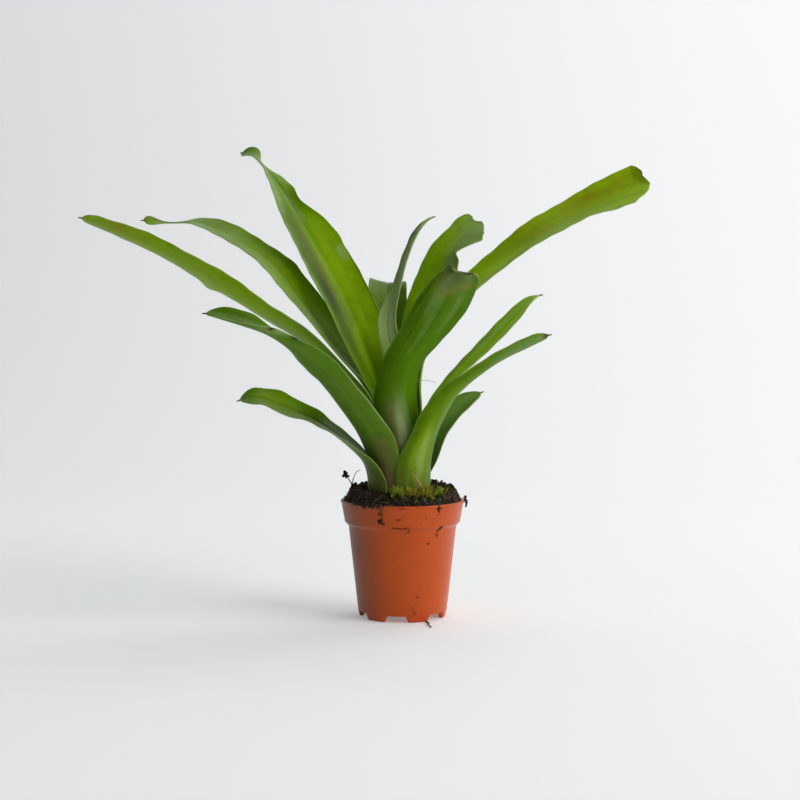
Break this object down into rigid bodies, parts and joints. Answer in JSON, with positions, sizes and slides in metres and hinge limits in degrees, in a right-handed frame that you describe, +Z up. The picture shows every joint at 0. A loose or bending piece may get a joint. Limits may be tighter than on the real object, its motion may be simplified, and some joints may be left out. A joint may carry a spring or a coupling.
{
  "type": "potted fireball nidularium",
  "caption": "Young rosette bromeliad with arching strap leaves, set in peaty soil in a small round plastic nursery pot with a broad rim band and notched feet.",
  "frame": {"origin": "middle of the bounding box's bottom face, level with the underside of the pot's feet; the pot's own axis stands 10.5 mm towards +X and 7.6 mm towards -Y of it", "axes": "+Z up out of the pot; +X to the right as the picture sees the plant, along its widest spread of leaves; +Y away from the picture's viewpoint"},
  "size_m": [0.2534, 0.1316, 0.2159],
  "materials": {
    "pot": "thin moulded terracotta-orange plastic, satin, dusty with soil",
    "soil": "damp dark peat with crumbs and fine roots",
    "crown": "short fleshy stem, pale green",
    "leaf": "smooth fleshy leaf, satin on top, greyish bloom beneath",
    "moss": "soft moss, green to rust",
    "twig": "dry bark scrap",
    "seedling": "thread-like green shoots"
  },
  "bodies": {
    "root": {"pot": "pot", "soil": "soil", "crown": "crown", "leaf_low_left": "leaf", "leaf_front_right": "leaf", "leaf_front_left": "leaf", "leaf_short_right": "leaf", "leaf_front": "leaf", "leaf_back": "leaf", "leaf_long_left": "leaf", "leaf_narrow_right": "leaf", "leaf_back_left": "leaf", "leaf_long_right": "leaf", "leaf_tall": "leaf", "leaf_back_right": "leaf", "leaf_young": "leaf", "moss": "moss", "twig": "twig", "seedling": "seedling"}
  },
  "joints": []
}
